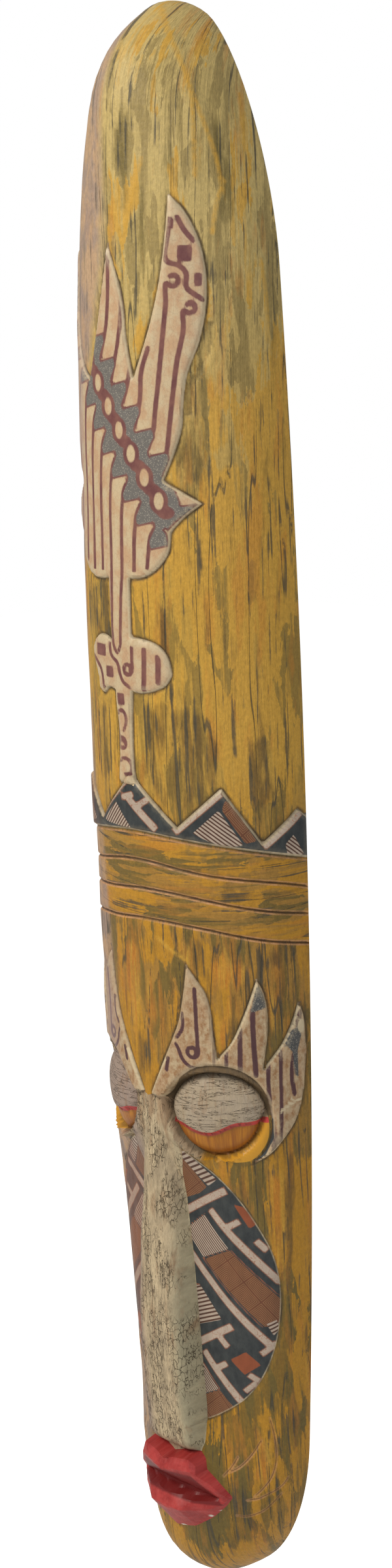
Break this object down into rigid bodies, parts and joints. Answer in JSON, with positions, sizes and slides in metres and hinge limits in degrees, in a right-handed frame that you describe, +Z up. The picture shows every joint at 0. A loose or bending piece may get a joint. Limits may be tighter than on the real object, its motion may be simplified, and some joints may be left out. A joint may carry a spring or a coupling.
{
  "type": "wall mask",
  "caption": "Tall narrow wall mask carved from half a log, with a gouged back, a long nose, domed eyelids, a mouth and low raised ornament.",
  "frame": {"origin": "on the flat back, 60 mm below the crown, where the hanger is fixed", "axes": "+Z up along the mask, -Y out of the face, +X to the right as one looks at the face"},
  "size_m": [0.156, 0.076, 1],
  "materials": {
    "painted_wood": "satin paint, streaked ochre over dark wood"
  },
  "bodies": {
    "root": {"mask": "painted_wood"}
  },
  "joints": []
}
